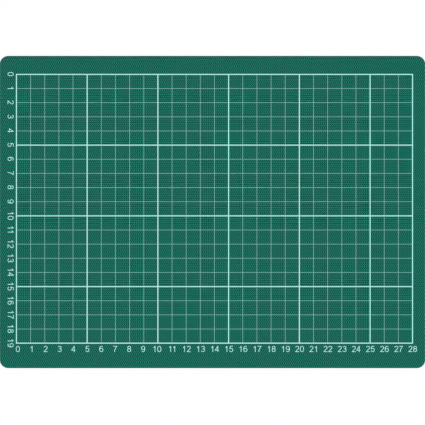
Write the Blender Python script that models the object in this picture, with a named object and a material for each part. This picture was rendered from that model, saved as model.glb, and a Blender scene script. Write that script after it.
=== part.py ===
"""Self-healing cutting mat: five bonded plies under one printed centimetre grid.

Metres throughout. The origin is the middle of the underside. +X runs along the long edge,
+Y runs up the face towards the grid's row 0, and +Z points out of the cutting face.
"""

import math

import bmesh
import bpy

# Outline of the sheet, which one die cuts through all five plies
MAT_LENGTH = 0.3010
MAT_WIDTH = 0.2208
CORNER_RADIUS = 0.0062
CORNER_SEGMENTS = 12

# Thickness of each kind of ply, and of the bond line between two plies
SKIN_THICKNESS = 0.00050
CUSHION_THICKNESS = 0.00045
CORE_THICKNESS = 0.00090
BOND_GAP = 0.00005

# Rounding that the die leaves on the outer edge of the two skins
SKIN_EDGE_RADIUS = 0.0002
SKIN_EDGE_SEGMENTS = 2
LARGEST_ROUND_SHARE = 0.8
SAME_HEIGHT = 0.000001

# Printed grid: whole squares, as many as fit inside the borders
GRID_PITCH = 0.010
LEFT_BORDER = 0.0119
TOP_BORDER = 0.01312
LEAST_RIGHT_BORDER = 0.0080
LEAST_BOTTOM_BORDER = 0.0165
SQUARES_PER_MAIN_LINE = 5
MAIN_LINE_WIDTH = 0.00066
FINE_LINE_WIDTH = 0.000145

# Screen-printed ink: its film, and the hair's breadth that parts it from the skin
INK_THICKNESS = 0.00003
INK_GAP = 0.00001

# Finishes: name, base colour in linear light, roughness, metallic
GREEN_SKIN = ("green_embossed_pvc", (0.011, 0.133, 0.098, 1.0), 0.55, 0.0)
CUSHION_PVC = ("soft_green_pvc", (0.016, 0.110, 0.082, 1.0), 0.60, 0.0)
HARD_CORE = ("hard_white_core", (0.700, 0.710, 0.680, 1.0), 0.50, 0.0)
WHITE_INK = ("mint_white_ink", (0.760, 0.955, 0.890, 1.0), 0.45, 0.0)


def make_material(finish):
    """A Principled material, made once for each finish of the list above."""
    name, colour, roughness, metallic = finish
    material = bpy.data.materials.new(name)
    material.use_nodes = True
    shader = material.node_tree.nodes["Principled BSDF"]
    shader.inputs["Base Color"].default_value = colour
    shader.inputs["Roughness"].default_value = roughness
    shader.inputs["Metallic"].default_value = metallic
    material.diffuse_color = colour
    return material


def add_part(name, shape, material, height):
    """Turn a finished bmesh into a named object whose underside lies at the given height."""
    mesh = bpy.data.meshes.new(name)
    shape.to_mesh(mesh)
    shape.free()
    mesh.materials.append(material)
    part = bpy.data.objects.new(name, mesh)
    part.location.z = height
    bpy.context.scene.collection.objects.link(part)
    return part


def raise_sheet(shape, thickness):
    """Give a flat sheet its thickness, upwards from height 0, with its faces pointing out."""
    raised = bmesh.ops.extrude_face_region(shape, geom=shape.faces[:])["geom"]
    top_points = [item for item in raised if isinstance(item, bmesh.types.BMVert)]
    bmesh.ops.translate(shape, verts=top_points, vec=(0.0, 0.0, thickness))
    bmesh.ops.recalc_face_normals(shape, faces=shape.faces[:])


def rim_edges(shape, height):
    """The edges of the outline that lies at one height."""
    return [edge for edge in shape.edges
            if all(abs(point.co.z - height) < SAME_HEIGHT for point in edge.verts)]


def ply_shape(thickness, rounded_height=None):
    """A rectangle with round corners, raised to a ply. One rim can be rounded over as well."""
    shape = bmesh.new()
    bmesh.ops.create_grid(shape, x_segments=1, y_segments=1, size=0.5)
    bmesh.ops.scale(shape, vec=(MAT_LENGTH, MAT_WIDTH, 1.0), verts=shape.verts[:])
    bmesh.ops.bevel(shape, geom=shape.verts[:], offset=CORNER_RADIUS, segments=CORNER_SEGMENTS,
                    profile=0.5, affect="VERTICES", material=-1)
    raise_sheet(shape, thickness)
    if rounded_height is not None:
        radius = min(SKIN_EDGE_RADIUS, LARGEST_ROUND_SHARE * thickness)
        bmesh.ops.bevel(shape, geom=rim_edges(shape, rounded_height), offset=radius,
                        segments=SKIN_EDGE_SEGMENTS, profile=0.5, affect="EDGES", material=-1)
    return shape


def line_edges(first_line, squares):
    """Both sides of every line across one direction of the grid, in rising order."""
    sides = []
    for number in range(squares + 1):
        is_main = number % SQUARES_PER_MAIN_LINE == 0 or number == squares
        half_width = (MAIN_LINE_WIDTH if is_main else FINE_LINE_WIDTH) / 2.0
        centre = first_line + number * GRID_PITCH
        sides += [centre - half_width, centre + half_width]
    return sides


def grid_shape():
    """The ink of all the lines as one lattice: a fine sheet with its open squares taken out."""
    room_along = MAT_LENGTH - LEFT_BORDER - LEAST_RIGHT_BORDER
    room_across = MAT_WIDTH - TOP_BORDER - LEAST_BOTTOM_BORDER
    columns = math.floor(room_along / GRID_PITCH)
    rows = math.floor(room_across / GRID_PITCH)

    # Rows are numbered from the top, so their lines are laid out downwards and then turned over
    across = line_edges(LEFT_BORDER - MAT_LENGTH / 2.0, columns)
    down = line_edges(TOP_BORDER - MAT_WIDTH / 2.0, rows)
    up = [-side for side in reversed(down)]

    shape = bmesh.new()
    bmesh.ops.create_grid(shape, x_segments=len(across) - 1, y_segments=len(up) - 1, size=0.5)
    for number, point in enumerate(shape.verts):
        row, column = divmod(number, len(across))
        point.co.x = across[column]
        point.co.y = up[row]

    # A face that is odd both ways lies between two lines both ways, so it is an open square
    open_squares = []
    for number, face in enumerate(shape.faces):
        row, column = divmod(number, len(across) - 1)
        if row % 2 == 1 and column % 2 == 1:
            open_squares.append(face)
    bmesh.ops.delete(shape, geom=open_squares, context="FACES")
    raise_sheet(shape, INK_THICKNESS)
    return shape


def build_mat():
    """Stack the plies from the table up, then lay the printed grid on the cutting face."""
    green = make_material(GREEN_SKIN)
    cushion = make_material(CUSHION_PVC)
    core = make_material(HARD_CORE)
    ink = make_material(WHITE_INK)

    # Name, thickness, material, and the height within the ply of the rim that is rounded
    stack = (
        ("base_ply", SKIN_THICKNESS, green, 0.0),
        ("lower_cushion_ply", CUSHION_THICKNESS, cushion, None),
        ("core_ply", CORE_THICKNESS, core, None),
        ("upper_cushion_ply", CUSHION_THICKNESS, cushion, None),
        ("cutting_ply", SKIN_THICKNESS, green, SKIN_THICKNESS),
    )
    height = 0.0
    for name, thickness, material, rounded_height in stack:
        add_part(name, ply_shape(thickness, rounded_height), material, height)
        height += thickness + BOND_GAP

    cutting_face = height - BOND_GAP
    add_part("printed_grid", grid_shape(), ink, cutting_face + INK_GAP)


for old_object in list(bpy.data.objects):
    bpy.data.objects.remove(old_object, do_unlink=True)
build_mat()
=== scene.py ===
# %% [markdown]
# A self-healing cutting mat, seen square on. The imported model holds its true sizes: five thin
# plies that one die has cut to the same outline, and one lattice of printed ink. This file gives
# each of them its finish, prints the rule numbers, and then lights and frames the whole.
# Everything is in metres: +X runs along the long edge, +Y up the face, +Z out of it.

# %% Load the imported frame
import math

import bmesh
import bpy
from mathutils import Matrix, Vector


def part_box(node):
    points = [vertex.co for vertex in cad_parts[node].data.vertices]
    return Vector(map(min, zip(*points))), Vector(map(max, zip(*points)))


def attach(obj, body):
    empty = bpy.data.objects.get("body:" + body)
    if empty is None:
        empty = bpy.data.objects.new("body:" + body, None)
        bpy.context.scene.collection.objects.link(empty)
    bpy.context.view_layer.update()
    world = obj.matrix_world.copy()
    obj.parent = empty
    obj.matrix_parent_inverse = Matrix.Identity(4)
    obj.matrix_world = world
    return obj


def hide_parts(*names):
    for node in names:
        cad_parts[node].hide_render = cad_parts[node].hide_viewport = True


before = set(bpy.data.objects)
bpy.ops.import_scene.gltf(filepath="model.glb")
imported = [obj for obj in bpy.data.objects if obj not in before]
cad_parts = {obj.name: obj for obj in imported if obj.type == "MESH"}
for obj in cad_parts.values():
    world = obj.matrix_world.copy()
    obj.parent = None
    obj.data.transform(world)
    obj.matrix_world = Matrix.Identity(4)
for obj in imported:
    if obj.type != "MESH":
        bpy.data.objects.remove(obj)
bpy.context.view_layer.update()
MM = 0.001
print("nodes:", ", ".join(sorted(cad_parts)))

# %% [markdown]
# The plies all share one outline. Its corner radius isn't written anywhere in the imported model,
# but it can be read off a mesh: along the top edge, the straight part stops one radius short of
# the corner. Reading it here means that the finished pieces always follow the model.

# %% Read the outline and the printed lines from the model
SAME_PLACE = 0.001 * MM
MICROMETRE_DIGITS = 6


def corner_radius_of(node):
    """How far before the end of the long edge its straight part stops."""
    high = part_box(node)[1]
    edge = [point.co.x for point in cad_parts[node].data.vertices
            if high.y - point.co.y < SAME_PLACE]
    return high.x - max(edge)


def line_centres(node, axis):
    """The middle of every printed line along one axis, from the two sides of each line."""
    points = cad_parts[node].data.vertices
    sides = sorted({round(point.co[axis], MICROMETRE_DIGITS) for point in points})
    return [(low + high) / 2.0 for low, high in zip(sides[::2], sides[1::2])]


OUTLINE_LOW, OUTLINE_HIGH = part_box("core_ply")
CORNER_RADIUS = corner_radius_of("core_ply")
INK_LOW, INK_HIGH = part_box("printed_grid")
COLUMN_LINES = line_centres("printed_grid", 0)
ROW_LINES = sorted(line_centres("printed_grid", 1), reverse=True)
print(f"corner radius {CORNER_RADIUS / MM:.2f} mm,", len(COLUMN_LINES), "by", len(ROW_LINES), "lines")

# %% [markdown]
# A ply is a flat sheet with round corners. It starts as one square face, its four corners are
# bevelled into arcs, and the face is raised to the ply's thickness. The model leaves a thin gap
# for each bond line. On the real mat the plies are fused, so each finished ply reaches almost
# half way into the gap and the dark slit between two plies is gone.

# %% A helper that raises a ply
BOND_REACH = 0.024 * MM
CORNER_STEPS = 32
SMOOTH_BELOW_DEGREES = 30.0


def raise_sheet(shape, thickness):
    """Give a flat sheet its thickness, upwards, with all its faces pointing outwards."""
    raised = bmesh.ops.extrude_face_region(shape, geom=shape.faces[:])["geom"]
    top = [item for item in raised if isinstance(item, bmesh.types.BMVert)]
    bmesh.ops.translate(shape, verts=top, vec=(0.0, 0.0, thickness))
    bmesh.ops.recalc_face_normals(shape, faces=shape.faces[:])


def round_rim(shape, height, radius, steps):
    """Round over the rim that lies at one height of the ply."""
    rim = [edge for edge in shape.edges
           if all(abs(point.co.z - height) < SAME_PLACE for point in edge.verts)]
    bmesh.ops.bevel(shape, geom=rim, offset=radius, segments=steps, profile=0.5,
                    affect="EDGES", material=-1)


def finish_piece(name, shape):
    """Turn a bmesh into an object at the origin, with its round faces shaded smooth."""
    mesh = bpy.data.meshes.new(name)
    shape.to_mesh(mesh)
    shape.free()
    mesh.shade_smooth()
    mesh.set_sharp_from_angle(angle=math.radians(SMOOTH_BELOW_DEGREES))
    piece = bpy.data.objects.new(name, mesh)
    bpy.context.scene.collection.objects.link(piece)
    return piece


def make_ply(name, node, set_back, lower_round, upper_round, steps):
    """One finished ply in the place of its node, reaching almost half way into its bond lines."""
    low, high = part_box(node)
    bottom = low.z - BOND_REACH if low.z > BOND_REACH else low.z
    top = high.z + BOND_REACH if INK_LOW.z - high.z > BOND_REACH else high.z
    length = high.x - low.x - 2.0 * set_back
    width = high.y - low.y - 2.0 * set_back

    shape = bmesh.new()
    bmesh.ops.create_grid(shape, x_segments=1, y_segments=1, size=0.5)
    bmesh.ops.scale(shape, vec=(length, width, 1.0), verts=shape.verts[:])
    bmesh.ops.bevel(shape, geom=shape.verts[:], offset=CORNER_RADIUS - set_back,
                    segments=CORNER_STEPS, profile=0.5, affect="VERTICES", material=-1)
    raise_sheet(shape, top - bottom)
    round_rim(shape, 0.0, lower_round, steps)
    round_rim(shape, top - bottom, upper_round, steps)
    middle = (low + high) / 2.0
    bmesh.ops.translate(shape, verts=shape.verts[:], vec=(middle.x, middle.y, bottom))
    print(f"{name}: {length / MM:.1f} by {width / MM:.1f} by {(top - bottom) / MM:.3f} mm")
    return finish_piece(name, shape)


# %% [markdown]
# What tells the plies apart at the cut edge is how they took the die: the skins keep a small
# rounded lip, the soft cushions spring back a little and bulge, and the hard core stays crisp.
# So each kind of ply draws back by its own amount, and has its own rounding at the two rims.

# %% Make the five plies
CUSHION_BACK = 0.03 * MM
CORE_BACK = 0.05 * MM
LIP = 0.20 * MM
INNER_LIP = 0.02 * MM
BULGE = 0.12 * MM
LIP_STEPS = 5
BULGE_STEPS = 4
CRISP_STEPS = 2

cutting_skin = make_ply("cutting_skin", "cutting_ply", 0.0, INNER_LIP, LIP, LIP_STEPS)
upper_cushion = make_ply("upper_cushion", "upper_cushion_ply", CUSHION_BACK, BULGE, BULGE,
                         BULGE_STEPS)
hard_core = make_ply("hard_core", "core_ply", CORE_BACK, INNER_LIP, INNER_LIP, CRISP_STEPS)
lower_cushion = make_ply("lower_cushion", "lower_cushion_ply", CUSHION_BACK, BULGE, BULGE,
                         BULGE_STEPS)
base_skin = make_ply("base_skin", "base_ply", 0.0, LIP, INNER_LIP, LIP_STEPS)

# %% [markdown]
# The rule numbers are plain, upright sans-serif figures. A typeface could be loaded, but figures
# drawn with a pen of one width say more about how such shapes are built: a short edge, as wide as
# the pen, is pushed along straight runs and spun round arcs, and it leaves a strip of ink behind.
# Figures are drawn one unit tall and scaled to size when they are printed.

# %% The pen
PEN = 0.090
STEP_LENGTH = 0.035
SAME_POINT = 0.0005


def polar(angle):
    """The unit vector at an angle given in degrees."""
    return Vector((math.cos(math.radians(angle)), math.sin(math.radians(angle)), 0.0))


def draw(start, heading, *moves):
    """A strip of ink from a start point. A move is a run's length, or an arc's (radius, turn)."""
    place = Vector((start[0], start[1], 0.0))
    half_nib = polar(heading + 90.0) * (PEN / 2.0)
    shape = bmesh.new()
    nib = shape.edges.new((shape.verts.new(place - half_nib), shape.verts.new(place + half_nib)))
    for move in moves:
        if isinstance(move, tuple):
            radius, turn = move
            to_centre = polar(heading + math.copysign(90.0, turn)) * radius
            steps = math.ceil(radius * math.radians(abs(turn)) / STEP_LENGTH)
            spun = bmesh.ops.spin(shape, geom=[nib, *nib.verts], cent=place + to_centre,
                                  axis=(0.0, 0.0, 1.0), angle=math.radians(turn), steps=steps)
            last = spun["geom_last"]
            place = place + to_centre - Matrix.Rotation(math.radians(turn), 3, "Z") @ to_centre
            heading += turn
        else:
            step = polar(heading) * move
            last = bmesh.ops.extrude_edge_only(shape, edges=[nib])["geom"]
            ends = [item for item in last if isinstance(item, bmesh.types.BMVert)]
            bmesh.ops.translate(shape, verts=ends, vec=step)
            last = [edge for edge in last if isinstance(edge, bmesh.types.BMEdge)
                    and all(point in ends for point in edge.verts)]
            place = place + step
        nib = next(item for item in last if isinstance(item, bmesh.types.BMEdge))
    bmesh.ops.remove_doubles(shape, verts=shape.verts[:], dist=SAME_POINT)
    return shape


def oval(middle, width, height, end_radius):
    """A closed ring of four arcs: two of the given radius at its ends, two that fit its sides.

    It is taller than wide, and its end radius is less than half its width.
    """
    end_centre = height / 2.0 - end_radius
    narrowing = end_radius - width / 2.0
    side_radius = end_radius - (end_centre ** 2 + narrowing ** 2) / (2.0 * narrowing)
    side_turn = math.degrees(math.atan(end_centre / (side_radius - width / 2.0)))
    end = (end_radius, 180.0 - 2.0 * side_turn)
    side = (side_radius, 2.0 * side_turn)
    half_side = (side_radius, side_turn)
    return draw((middle[0] + width / 2.0, middle[1]), 90.0, half_side, end, side, end, half_side)


# %% [markdown]
# Each figure is two or three strokes. The numbers below are the proportions of a plain grotesque
# figure: where a stroke starts, which way it heads, and how it runs and turns. A positive turn is
# to the left. Strokes may cross or run past the top and bottom lines, because they are trimmed
# there and then united.

# %% The ten figures as strokes
RISE = 1.0 - PEN
SPAN = 0.484
UPPER_BOWL = 0.424
WAIST = RISE - UPPER_BOWL
SIX_BOWL = 0.568
CENTRE = SPAN / 2.0
MIDDLE = RISE / 2.0


def six_strokes():
    """The closed bowl, and the stem that rises from its left side and turns over the top."""
    return [oval((CENTRE, SIX_BOWL / 2.0), SPAN, SIX_BOWL, 0.21),
            draw((0.0, SIX_BOWL / 2.0), 90.0, MIDDLE - SIX_BOWL / 2.0,
                 (0.952, -20.3), (0.195, -146.0))]


def half_turned(strokes):
    """The same strokes upside down, which turns a six into a nine."""
    turn = Matrix.Rotation(math.pi, 3, "Z")
    for shape in strokes:
        bmesh.ops.rotate(shape, cent=(CENTRE, MIDDLE, 0.0), matrix=turn, verts=shape.verts[:])
    return strokes


STROKES = {
    "0": [oval((CENTRE, MIDDLE), SPAN, RISE, 0.195)],
    "1": [draw((0.300, -PEN), 90.0, RISE + 2.0 * PEN),
          draw((0.315, RISE + 0.036), -112.0, (0.62, -36.0))],
    "2": [draw((0.013, RISE - 0.184), 78.0, (0.232, -206.0), 0.70),
          draw((-0.045, 0.0), 0.0, 0.56)],
    "3": [draw((0.050, RISE - 0.157), 75.0, (UPPER_BOWL / 2.0, -255.0), 0.06),
          draw((0.185, WAIST), 0.0, 0.055, (WAIST / 2.0, -255.0))],
    "4": [draw((0.345, -PEN), 90.0, RISE + 2.0 * PEN),
          draw((-0.080, 0.240), 0.0, 0.595),
          draw((-0.045, 0.235), 60.0, 0.85)],
    "5": [draw((0.080, RISE), 0.0, 0.41),
          draw((0.118, RISE + PEN), -99.4, 0.60),
          draw((0.033, 0.422), 72.0, (0.21, -117.0), (0.321, -90.0), (0.21, -132.0))],
    "6": six_strokes(),
    "7": [draw((-0.040, RISE), 0.0, 0.56),
          draw((SPAN - 0.005, RISE), -127.0, (1.75, 33.0), PEN)],
    "8": [oval((CENTRE, RISE - UPPER_BOWL / 2.0), 0.40, UPPER_BOWL, 0.19),
          oval((CENTRE, WAIST / 2.0), 0.47, WAIST, 0.22)],
    "9": half_turned(six_strokes()),
}
print("strokes:", {figure: len(strips) for figure, strips in STROKES.items()})

# %% [markdown]
# A flat strip becomes a thin solid, and the closed solids of a figure are united with the Manifold
# Boolean, so that a figure is one clean film of ink with no hidden faces where two strokes cross.
# Its points, edges and faces are then numbered by their places, because merging and dissolving
# take them by number, and a figure has to come out the same each time.

# %% Unite the strokes of each figure
FIGURE_HEIGHT = 4.2 * MM
FIGURE_STRETCH = 1.15
SIDE_BEARING = 0.061
INK_THICKNESS = INK_HIGH.z - INK_LOW.z
SAME_CORNER = 0.001
FLAT_DEGREES = 1.0


def trim(shape, height, direction):
    """Cut a flat strip off at a height, above it (1) or below it (-1)."""
    everything = shape.verts[:] + shape.edges[:] + shape.faces[:]
    bmesh.ops.bisect_plane(shape, geom=everything, plane_co=(0.0, height, 0.0),
                           plane_no=(0.0, direction, 0.0), clear_outer=True)


def stroke_solid(shape):
    """A strip trimmed to the figure's top and bottom lines and raised to the ink's thickness."""
    trim(shape, RISE + PEN / 2.0, 1.0)
    trim(shape, -PEN / 2.0, -1.0)
    raise_sheet(shape, INK_THICKNESS / FIGURE_HEIGHT)
    return finish_piece("stroke", shape)


def number_by_place(shape):
    """Give the points, edges and faces of a bmesh an order that depends only on where they lie."""
    for rank, point in enumerate(sorted(shape.verts, key=lambda point: tuple(point.co))):
        point.index = rank
    shape.verts.sort()
    for items in (shape.edges, shape.faces):
        placed = sorted(items, key=lambda item: sorted(point.index for point in item.verts))
        for rank, item in enumerate(placed):
            item.index = rank
        items.sort()


def figure_mesh(strips):
    """One figure as a single united mesh, a unit tall, with its box's lower left at the origin."""
    strokes = [stroke_solid(shape) for shape in strips]
    for other in strokes[1:]:
        union = strokes[0].modifiers.new("unite", "BOOLEAN")
        union.operation = "UNION"
        union.solver = "MANIFOLD"
        union.object = other
    seen = bpy.context.evaluated_depsgraph_get()
    united = bpy.data.meshes.new_from_object(strokes[0].evaluated_get(seen))
    for stroke in strokes:
        bpy.data.objects.remove(stroke)
    shape = bmesh.new()
    shape.from_mesh(united)
    number_by_place(shape)
    bmesh.ops.remove_doubles(shape, verts=shape.verts[:], dist=SAME_CORNER)
    bmesh.ops.dissolve_limit(shape, angle_limit=math.radians(FLAT_DEGREES),
                             verts=shape.verts[:], edges=shape.edges[:])
    bmesh.ops.translate(shape, verts=shape.verts[:], vec=(PEN / 2.0, PEN / 2.0, 0.0))
    bmesh.ops.scale(shape, vec=(FIGURE_STRETCH, 1.0, 1.0), verts=shape.verts[:])
    bmesh.ops.translate(shape, verts=shape.verts[:], vec=(SIDE_BEARING, 0.0, 0.0))
    shape.to_mesh(united)
    shape.free()
    return united


FIGURES = {figure: figure_mesh(strips) for figure, strips in STROKES.items()}
print("figures:", {figure: len(mesh.polygons) for figure, mesh in FIGURES.items()})

# %% [markdown]
# The numbers are printed like type. Each figure takes the same width, except that two ones in a
# row are set closer. A number is centred on its line, and the whole number is turned and moved to
# its place. Along the bottom the figures stand upright. Down the left side they are turned
# clockwise, so that their tops face the grid.
#
# On this mat the bottom row was set in two runs. The numbers 0 to 10 are spaced a little closer
# than the lines: the first stands to the right of its line and the last to the left of its own.
# The rest keep the true spacing.

# %% Print the two scales
FIGURE_WIDTH = 0.783
CLOSER_ONES = 0.10


def print_number(shape, number, place):
    """Add one number to a bmesh. The place turns and moves its box, centred on its baseline."""
    text = str(number)
    advance = FIGURE_WIDTH - (CLOSER_ONES if text == "11" else 0.0)
    first = -(FIGURE_WIDTH + advance * (len(text) - 1)) / 2.0
    for position, figure in enumerate(text):
        before = len(shape.verts)
        shape.from_mesh(FIGURES[figure])
        shape.verts.ensure_lookup_table()
        along = first + position * advance
        into_row = Matrix.Scale(FIGURE_HEIGHT, 4) @ Matrix.Translation((along, 0.0, 0.0))
        bmesh.ops.transform(shape, matrix=place @ into_row, verts=shape.verts[before:])


FIGURE_DROP = 2.00 * MM
FIRST_RUN = 11
FIRST_SHIFT = 1.00 * MM
SHIFT_PER_NUMBER = -0.165 * MM
LATER_SHIFT = 0.20 * MM
SIDE_SHIFT = 0.22 * MM

bottom_scale = bmesh.new()
baseline = ROW_LINES[-1] - FIGURE_DROP - FIGURE_HEIGHT
for number, line in enumerate(COLUMN_LINES):
    shift = FIRST_SHIFT + number * SHIFT_PER_NUMBER if number < FIRST_RUN else LATER_SHIFT
    print_number(bottom_scale, number, Matrix.Translation((line + shift, baseline, INK_LOW.z)))
bottom_numbers = finish_piece("bottom_numbers", bottom_scale)

side_scale = bmesh.new()
baseline = COLUMN_LINES[0] - FIGURE_DROP - FIGURE_HEIGHT
clockwise = Matrix.Rotation(math.radians(-90.0), 4, "Z")
for number, line in enumerate(ROW_LINES):
    place = Matrix.Translation((baseline, line + SIDE_SHIFT, INK_LOW.z))
    print_number(side_scale, number, place @ clockwise)
side_numbers = finish_piece("side_numbers", side_scale)
for piece in (bottom_numbers, side_numbers):
    print(piece.name, len(piece.data.polygons), "faces")

# %% [markdown]
# The finishes follow. First a few helpers, because every material is a small tree of the same
# kinds of node: a maker of nodes, and a maker of node groups with named inputs and outputs.

# %% Helpers for node trees
def add_node(tree, kind, **settings):
    """A node of one kind. Settings are its properties, or the values of its named inputs."""
    node = tree.nodes.new(kind)
    for name, value in settings.items():
        if hasattr(node, name):
            setattr(node, name, value)
        else:
            node.inputs[name.replace("_", " ")].default_value = value
    return node


def math_node(tree, operation, first, second=0.0, clamp=False):
    """A Math node fed by sockets or plain numbers. Returns its output socket."""
    node = add_node(tree, "ShaderNodeMath", operation=operation, use_clamp=clamp)
    for socket, value in zip(node.inputs, (first, second)):
        if isinstance(value, (int, float)):
            socket.default_value = value
        else:
            tree.links.new(value, socket)
    return node.outputs[0]


def noise(tree, vector, scale, detail=1.0):
    """A Noise Texture's value, at a scale in features to the metre."""
    node = add_node(tree, "ShaderNodeTexNoise", Scale=scale, Detail=detail, Roughness=0.5)
    tree.links.new(vector, node.inputs["Vector"])
    return node.outputs["Fac"]


def remap(tree, value, from_low, from_high, to_low, to_high):
    """A value carried from one range to another, and held inside it."""
    node = add_node(tree, "ShaderNodeMapRange", From_Min=from_low, From_Max=from_high,
                    To_Min=to_low, To_Max=to_high)
    tree.links.new(value, node.inputs["Value"])
    return node.outputs["Result"]


def mix_colours(tree, share, first, second):
    """Two colours mixed by a share. Either may be a socket or a plain colour."""
    node = add_node(tree, "ShaderNodeMix", data_type="RGBA")
    tree.links.new(share, node.inputs[0])
    for socket, value in ((node.inputs[6], first), (node.inputs[7], second)):
        if isinstance(value, tuple):
            socket.default_value = value
        else:
            tree.links.new(value, socket)
    return node.outputs[2]


def new_group(name, inputs, outputs):
    """A node group with float inputs, given as name and default, a Position, and outputs."""
    tree = bpy.data.node_groups.new(name, "ShaderNodeTree")
    tree.interface.new_socket("Position", in_out="INPUT", socket_type="NodeSocketVector")
    for socket_name, default in inputs.items():
        socket = tree.interface.new_socket(socket_name, in_out="INPUT",
                                           socket_type="NodeSocketFloat")
        socket.default_value = default
    for socket_name in outputs:
        tree.interface.new_socket(socket_name, in_out="OUTPUT", socket_type="NodeSocketFloat")
    return tree, tree.nodes.new("NodeGroupInput"), tree.nodes.new("NodeGroupOutput")


# %% [markdown]
# The skins are calendered PVC. The roller leaves a fine emboss, copied from linen cloth: crossed
# threads, a knot where two of them cross, and short ribs between them in staggered rows. A thread
# keeps its weight along its whole length, so heavier and lighter ones make faint bands from side to
# side and from top to bottom. Ribs and knots are strongest in the borders, as if the press had
# flattened them inside the printed frame, where the bands show more. A grain covers everything.
# Waves give the threads, and noise along one axis weighs them. The ink lies on the same skin, so
# this is a group that both materials use.

# %% The emboss group
THREAD_PITCH = 1.414 * MM
ROW_PITCH = 2.0 * THREAD_PITCH
ROW_WANDER = 3.0 * MM

# How much of the height each kind of relief may take, in the borders and inside the frame
RIB_SHARES = (1.20, 0.50)
WARP_SHARES = (0.40, 0.48)
WEFT_SHARES = (0.36, 0.62)
KNOT_SHARES = (1.00, 0.80)
SKIN_GRAIN = 0.3

# The weight of the lightest knot. A thread goes from 1 to -1, which swaps its ups and downs
LIGHTEST_KNOT = 0.25
LIGHTEST_THREAD = -1.0

# Features to the metre of the noises, and the range that most of a noise's values lie in
BAND_FEATURES = 70.0
KNOT_FEATURES = 110.0
WANDER_FEATURES = 90.0
GRAIN_FEATURES = 1500.0
NOISE_RANGE = (0.3, 0.7)


def make_emboss():
    """Outputs the height of the emboss, from 0 to 1."""
    tree, source, result = new_group("roller_emboss", {"Grain": SKIN_GRAIN}, ("Height",))
    position = source.outputs["Position"]
    parts = add_node(tree, "ShaderNodeSeparateXYZ")
    tree.links.new(position, parts.inputs[0])
    along, up, level = parts.outputs["X"], parts.outputs["Y"], parts.outputs["Z"]

    def times(first, second):
        """The product of two values."""
        return math_node(tree, "MULTIPLY", first, second)

    def wave(operation, distance, pitch):
        """A sine or cosine wave along a distance."""
        return math_node(tree, operation, times(distance, math.tau / pitch))

    def weighed(relief, values, lightest, shares):
        """A relief that a noise makes lighter or heavier, with its share of the height."""
        weight = remap(tree, values, *NOISE_RANGE, lightest, 1.0)
        return times(times(relief, weight), remap(tree, pressed, 0.0, 1.0, *shares))

    def banded(distance):
        """Noise that changes along one axis only."""
        node = add_node(tree, "ShaderNodeTexNoise", noise_dimensions="1D",
                        Scale=BAND_FEATURES, Detail=1.0)
        tree.links.new(distance, node.inputs["W"])
        return node.outputs["Fac"]

    # 1 under the printed frame and 0 everywhere else, the underside included
    pressed = math_node(tree, "GREATER_THAN", level, OUTLINE_HIGH.z)
    for distance, low, high in ((along, INK_LOW.x, INK_HIGH.x), (up, INK_LOW.y, INK_HIGH.y)):
        from_middle = math_node(tree, "SUBTRACT", distance, (low + high) / 2.0)
        from_middle = math_node(tree, "ABSOLUTE", from_middle)
        pressed = times(pressed, math_node(tree, "LESS_THAN", from_middle, (high - low) / 2.0))

    warp = wave("COSINE", along, THREAD_PITCH)
    weft = wave("SINE", up, THREAD_PITCH)
    wander = times(noise(tree, position, WANDER_FEATURES), ROW_WANDER)
    rows = wave("COSINE", math_node(tree, "ADD", up, wander), ROW_PITCH)
    grain = math_node(tree, "SUBTRACT", noise(tree, position, GRAIN_FEATURES), 0.5)
    patches = noise(tree, position, KNOT_FEATURES)

    relief = (
        times(times(warp, rows), remap(tree, pressed, 0.0, 1.0, *RIB_SHARES)),
        weighed(warp, banded(along), LIGHTEST_THREAD, WARP_SHARES),
        weighed(weft, banded(up), LIGHTEST_THREAD, WEFT_SHARES),
        weighed(times(warp, weft), patches, LIGHTEST_KNOT, KNOT_SHARES),
        times(grain, source.outputs["Grain"]),
    )
    total = math_node(tree, "ADD", relief[0], 0.5)
    for part in relief[1:-1]:
        total = math_node(tree, "ADD", total, part)
    total = math_node(tree, "ADD", total, relief[-1], clamp=True)
    tree.links.new(total, result.inputs["Height"])
    return tree


EMBOSS = make_emboss()
print(f"emboss: threads every {THREAD_PITCH / MM:.2f} mm, rows every {ROW_PITCH / MM:.2f} mm")

# %% [markdown]
# All five plies show the die at the edge: it drags short upright scores down the cut. Noise that
# is stretched along Z gives them. A second group does this for every material of a ply.

# %% The die-cut group
SKIN_SCORES = 2600.0
UPRIGHT_SHARE = 0.06


def make_die_scores():
    """Outputs the height of the scores, from 0 to 1."""
    tree, source, result = new_group("die_scores", {"Scores per Metre": SKIN_SCORES}, ("Height",))
    stretch = add_node(tree, "ShaderNodeVectorMath", operation="MULTIPLY")
    stretch.inputs[1].default_value = (1.0, 1.0, UPRIGHT_SHARE)
    tree.links.new(source.outputs["Position"], stretch.inputs[0])
    texture = add_node(tree, "ShaderNodeTexNoise", Detail=2.0, Roughness=0.6)
    tree.links.new(stretch.outputs[0], texture.inputs["Vector"])
    tree.links.new(source.outputs["Scores per Metre"], texture.inputs["Scale"])
    tree.links.new(texture.outputs["Fac"], result.inputs["Height"])
    return tree


DIE_SCORES = make_die_scores()
print(f"die scores: {1.0 / (SKIN_SCORES * MM):.2f} mm apart",
      f"and {1.0 / UPRIGHT_SHARE:.0f} times as long")

# %% [markdown]
# A material starts from a Principled shader and the piece's own Object coordinates. The small
# helpers below place a group in it and drive a bump from a height.

# %% Helpers for materials
def new_material(name):
    """A material with its tree, its shader, and the socket of its Object coordinates."""
    material = bpy.data.materials.new(name)
    material.use_nodes = True
    tree = material.node_tree
    shader = tree.nodes["Principled BSDF"]
    coordinates = add_node(tree, "ShaderNodeTexCoord")
    return material, tree, shader, coordinates.outputs["Object"]


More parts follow.
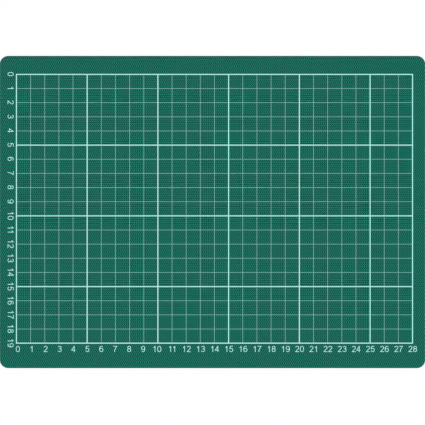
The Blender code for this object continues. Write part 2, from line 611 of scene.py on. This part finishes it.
def place_group(tree, group, position, **values):
    """A group in a material, with its inputs set by name."""
    node = add_node(tree, "ShaderNodeGroup", node_tree=group)
    tree.links.new(position, node.inputs["Position"])
    for name, value in values.items():
        node.inputs[name.replace("_", " ")].default_value = value
    return node


def bump(tree, shader, height, depth):
    """Drive the shader's normal from a height of 0 to 1, which stands for a depth in metres."""
    node = add_node(tree, "ShaderNodeBump", Strength=1.0, Distance=depth)
    tree.links.new(height, node.inputs["Height"])
    tree.links.new(node.outputs["Normal"], shader.inputs["Normal"])


def srgb(red, green, blue):
    """A colour given as it looks on screen, 0 to 255, in the linear values that shaders take."""
    linear = []
    for level in (red, green, blue):
        share = level / 255.0
        linear.append(share / 12.92 if share <= 0.04045 else ((share + 0.055) / 1.055) ** 2.4)
    return (*linear, 1.0)


# %% [markdown]
# The green skin. Its colour lies between a deep green in the valleys of the emboss, which is
# painted shade, and a lighter one on its peaks, which is painted light, and drifts a little across
# the sheet between a purer and a greyer green. On the cut edge, found from the surface's normal,
# the emboss gives way to the die's scores, in greens darker than the face: the scores are real,
# the darkness is painted shade on the rounded rim.

# %% Green embossed PVC
# Painted shade: the deep valley green. Painted light: the lighter peak green.
PAINTED_SHADE_VALLEY_GREEN = srgb(0, 61, 50)
PAINTED_LIGHT_PEAK_GREEN = srgb(33, 129, 110)
GREYER_GREEN = srgb(34, 97, 88)
# The two scored greens are darker than the face: painted shade on the rim, with real die scores
SHADED_RIM_SCORE_DARK = srgb(8, 70, 58)
SHADED_RIM_SCORE_LIGHT = srgb(24, 100, 86)
SKIN_DEPTH = 0.04 * MM

# Roughness in the valleys of the emboss and on its peaks
SKIN_ROUGHNESS = (0.50, 0.42)

# The noise that greys the green: its features to the metre, detail, range and strongest share
DRIFT_FEATURES = 130.0
DRIFT_DETAIL = 3.0
DRIFT_RANGE = (0.40, 0.66)
MOST_DRIFT = 0.40

# How upright the normal is, along Z, where the face gives way to the edge
EDGE_TO_FACE = (0.55, 0.95)


def make_green_pvc():
    """The embossed skin of the cutting face and the base."""
    material, tree, shader, position = new_material("green_embossed_pvc")
    emboss = place_group(tree, EMBOSS, position)
    scores = place_group(tree, DIE_SCORES, position)
    # The emboss height mixes painted shade in the valleys with painted light on the peaks
    relief = mix_colours(tree, emboss.outputs["Height"], PAINTED_SHADE_VALLEY_GREEN, PAINTED_LIGHT_PEAK_GREEN)
    patches = noise(tree, position, DRIFT_FEATURES, DRIFT_DETAIL)
    drift = remap(tree, patches, *DRIFT_RANGE, 0.0, MOST_DRIFT)
    face_colour = mix_colours(tree, drift, relief, GREYER_GREEN)

    normal = add_node(tree, "ShaderNodeSeparateXYZ")
    tree.links.new(add_node(tree, "ShaderNodeNewGeometry").outputs["Normal"], normal.inputs[0])
    flatness = math_node(tree, "ABSOLUTE", normal.outputs["Z"])
    on_face = remap(tree, flatness, *EDGE_TO_FACE, 0.0, 1.0)
    # Painted shade on the cut edge and its rounded lip, found from the normal, with the real scores
    shaded_edge_colour = mix_colours(tree, scores.outputs["Height"], SHADED_RIM_SCORE_DARK, SHADED_RIM_SCORE_LIGHT)
    colour = mix_colours(tree, on_face, shaded_edge_colour, face_colour)
    tree.links.new(colour, shader.inputs["Base Color"])

    rough = remap(tree, emboss.outputs["Height"], 0.0, 1.0, *SKIN_ROUGHNESS)
    tree.links.new(rough, shader.inputs["Roughness"])
    shader.inputs["Specular IOR Level"].default_value = 0.04
    face_height = math_node(tree, "MULTIPLY", emboss.outputs["Height"], on_face)
    edge_share = math_node(tree, "SUBTRACT", 1.0, on_face)
    edge_height = math_node(tree, "MULTIPLY", scores.outputs["Height"], edge_share)
    bump(tree, shader, math_node(tree, "ADD", face_height, edge_height), SKIN_DEPTH)
    return material


green_pvc = make_green_pvc()
print(green_pvc.name, len(green_pvc.node_tree.nodes), "nodes")

# %% [markdown]
# The cushions and the core show only at the edge. The cushion is the same green PVC with more
# plasticiser in it, so it is softer, duller and a little darker. The core is a hard off-white
# sheet, faintly see-through at its cut, which takes the finest scores.

# %% Soft cushion and hard core
ROUGHNESS_SWING = 0.08


def make_edge_material(name, dark, light, scores_per_metre, roughness, depth):
    """A ply's material, coloured and roughened by the scores of the die."""
    material, tree, shader, position = new_material(name)
    scores = place_group(tree, DIE_SCORES, position, Scores_per_Metre=scores_per_metre)
    colour = mix_colours(tree, scores.outputs["Height"], dark, light)
    tree.links.new(colour, shader.inputs["Base Color"])
    rough = remap(tree, scores.outputs["Height"], *NOISE_RANGE, roughness + ROUGHNESS_SWING,
                  roughness - ROUGHNESS_SWING)
    tree.links.new(rough, shader.inputs["Roughness"])
    shader.inputs["Specular IOR Level"].default_value = 0.15
    bump(tree, shader, scores.outputs["Height"], depth)
    return material


cushion_pvc = make_edge_material(
    "soft_green_pvc", dark=srgb(10, 66, 56), light=srgb(30, 100, 86),
    scores_per_metre=2200.0, roughness=0.62, depth=0.05 * MM)
core_sheet = make_edge_material(
    "hard_core_sheet", dark=srgb(196, 202, 194), light=srgb(236, 238, 230),
    scores_per_metre=4200.0, roughness=0.48, depth=0.02 * MM)
for material in (cushion_pvc, core_sheet):
    print(material.name, len(material.node_tree.nodes), "nodes")

# %% [markdown]
# The ink is mint white. It was pressed through a screen onto the emboss, so it lies a little
# thinner in the valleys, where the green comes through it.

# %% Mint-white ink
MINT = srgb(192, 254, 247)
THINNEST_INK = srgb(60, 150, 132)
INK_GRAIN = 0.8
INK_DEPTH = 0.02 * MM
INK_ROUGHNESS = (0.55, 0.42)

# The heights of the emboss over which the ink grows to its full body, and how thin it starts
VALLEY_TO_FULL = (0.05, 0.45)
MOST_THINNING = 0.22


def make_ink():
    """The ink of the grid and the numbers."""
    material, tree, shader, position = new_material("mint_white_ink")
    emboss = place_group(tree, EMBOSS, position, Grain=INK_GRAIN)
    thinning = remap(tree, emboss.outputs["Height"], *VALLEY_TO_FULL, MOST_THINNING, 0.0)
    colour = mix_colours(tree, thinning, MINT, THINNEST_INK)
    tree.links.new(colour, shader.inputs["Base Color"])
    rough = remap(tree, emboss.outputs["Height"], 0.0, 1.0, *INK_ROUGHNESS)
    tree.links.new(rough, shader.inputs["Roughness"])
    shader.inputs["Specular IOR Level"].default_value = 0.08
    bump(tree, shader, emboss.outputs["Height"], INK_DEPTH)
    return material


ink = make_ink()
print(ink.name, len(ink.node_tree.nodes), "nodes")

# %% [markdown]
# Each finished piece takes its material, stands in for its node, and rides on the mat's one body.
# The printed lattice is right as it comes from the model, so it stays and only takes the ink.

# %% Dress the pieces
def dress(piece, material, slot_name, *nodes):
    """Give a piece its material and its body, and hide the nodes it stands for. The slot name is not
    used.
    """
    piece.data.materials.clear()
    piece.data.materials.append(material)
    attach(piece, "root")
    if nodes:
        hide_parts(*nodes)
    print(f"{piece.name}: {material.name}, in place of {' and '.join(nodes) or 'nothing'}")


dress(cutting_skin, green_pvc, "green_skin", "cutting_ply")
dress(upper_cushion, cushion_pvc, "green_cushion", "upper_cushion_ply")
dress(hard_core, core_sheet, "hard_core", "core_ply")
dress(lower_cushion, cushion_pvc, "green_cushion", "lower_cushion_ply")
dress(base_skin, green_pvc, "green_skin", "base_ply")
dress(bottom_numbers, ink, "mint_ink")
dress(side_numbers, ink, "mint_ink")
printed_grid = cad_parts["printed_grid"]
printed_grid.data.materials.clear()
printed_grid.data.materials.append(ink)

# %% [markdown]
# The mat lies on a plain white floor. Seen by the camera, most of the floor's brightness is its
# own, so that it is as white as a sheet of paper, and the rest is lit, so that it keeps a trace
# of the mat's shadow.

# %% The floor
FLOOR_SIZE = 8.0
FLOOR_DROP = 0.02 * MM
FLOOR_COLOUR = (0.93, 0.93, 0.93, 1.0)
FLOOR_GLOW = 0.96


def seen_directly(tree):
    """1 for the rays that show a surface to the eye, and 0 for those that only light one."""
    rays = add_node(tree, "ShaderNodeLightPath")
    seen = math_node(tree, "ADD", rays.outputs["Is Camera Ray"], rays.outputs["Is Glossy Ray"])
    return math_node(tree, "ADD", seen, rays.outputs["Is Transmission Ray"], clamp=True)


def make_floor():
    """A wide flat floor just under the mat."""
    shape = bmesh.new()
    bmesh.ops.create_grid(shape, x_segments=1, y_segments=1, size=FLOOR_SIZE / 2.0)
    bmesh.ops.translate(shape, verts=shape.verts[:], vec=(0.0, 0.0, -FLOOR_DROP))
    floor = finish_piece("floor", shape)
    material, tree, shader, _ = new_material("white_floor")
    shader.inputs["Base Color"].default_value = FLOOR_COLOUR
    shader.inputs["Roughness"].default_value = 0.9
    shader.inputs["Specular IOR Level"].default_value = 0.0
    glow = add_node(tree, "ShaderNodeEmission", Strength=1.0)
    mix = add_node(tree, "ShaderNodeMixShader")
    share = math_node(tree, "MULTIPLY", seen_directly(tree), FLOOR_GLOW)
    tree.links.new(share, mix.inputs[0])
    tree.links.new(shader.outputs[0], mix.inputs[1])
    tree.links.new(glow.outputs[0], mix.inputs[2])
    tree.links.new(mix.outputs[0], tree.nodes["Material Output"].inputs["Surface"])
    floor.data.materials.append(material)
    return floor


floor = make_floor()
print(f"floor: {FLOOR_SIZE:.0f} m square, {FLOOR_DROP / MM:.2f} mm under the mat")

# %% [markdown]
# The light is that of a copy stand in a white room. Four soft lamps shine in from the sides at the
# same slant, so that the sheet is lit evenly and none of them is mirrored straight up into the
# camera. The room adds the same light from everywhere. Together they are set so that a colour
# comes out about as it is written. Where a ray sees the room itself, the room is plain white.

# %% The lamps and the sky
LAMP_AZIMUTHS = (45.0, 135.0, 225.0, 315.0)
LAMP_SLANT = 52.0
LAMP_SOFTNESS = 25.0
LAMP_STRENGTH = 0.51
SKY_LIGHT = 0.60
SKY_SEEN = 1.0


def add_lamp(name, azimuth):
    """A soft sun from one side, tilted over by the common slant."""
    lamp = bpy.data.lights.new(name, "SUN")
    lamp.energy = LAMP_STRENGTH
    lamp.angle = math.radians(LAMP_SOFTNESS)
    holder = bpy.data.objects.new(name, lamp)
    holder.rotation_euler = (math.radians(LAMP_SLANT), 0.0, math.radians(azimuth))
    bpy.context.scene.collection.objects.link(holder)


for number, azimuth in enumerate(LAMP_AZIMUTHS):
    add_lamp(f"lamp_{number}", azimuth)


def make_sky():
    """One even white in every direction."""
    world = bpy.data.worlds.new("studio_sky")
    world.use_nodes = True
    bpy.context.scene.world = world
    tree = world.node_tree
    level = remap(tree, seen_directly(tree), 0.0, 1.0, SKY_LIGHT, SKY_SEEN)
    background = tree.nodes["Background"]
    tree.links.new(level, background.inputs["Strength"])
    background.inputs["Color"].default_value = (1.0, 1.0, 1.0, 1.0)


make_sky()
from_lamps = len(LAMP_AZIMUTHS) * LAMP_STRENGTH * math.cos(math.radians(LAMP_SLANT)) / math.pi
print(f"light on a level face: {from_lamps:.2f} from the lamps and {SKY_LIGHT:.2f} from the sky")

# %% [markdown]
# The camera looks straight down through a long lens, so that the grid's lines stay parallel and
# no edge of the mat shows its side. Its height follows from the width that the picture takes in,
# measured on the cutting face.

# %% The camera
PICTURE_PIXELS = 425
MAT_PIXELS = 425.8
MAT_ABOVE_MIDDLE_PIXELS = 0.5
LENS = 120.0
SENSOR = 36.0
NEAREST = 0.01
FARTHEST = 50.0

metres_per_pixel = (OUTLINE_HIGH.x - OUTLINE_LOW.x) / MAT_PIXELS
picture_width = PICTURE_PIXELS * metres_per_pixel
camera_data = bpy.data.cameras.new("camera")
camera_data.lens = LENS
camera_data.sensor_width = SENSOR
camera_data.clip_start = NEAREST
camera_data.clip_end = FARTHEST
camera = bpy.data.objects.new("camera", camera_data)
camera.location = (0.0, -MAT_ABOVE_MIDDLE_PIXELS * metres_per_pixel,
                   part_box("cutting_ply")[1].z + picture_width * LENS / SENSOR)
bpy.context.scene.collection.objects.link(camera)
bpy.context.scene.camera = camera
bpy.context.scene.view_settings.view_transform = "Standard"
print(f"camera {camera.location.z:.3f} m up, picture {picture_width / MM:.2f} mm wide")
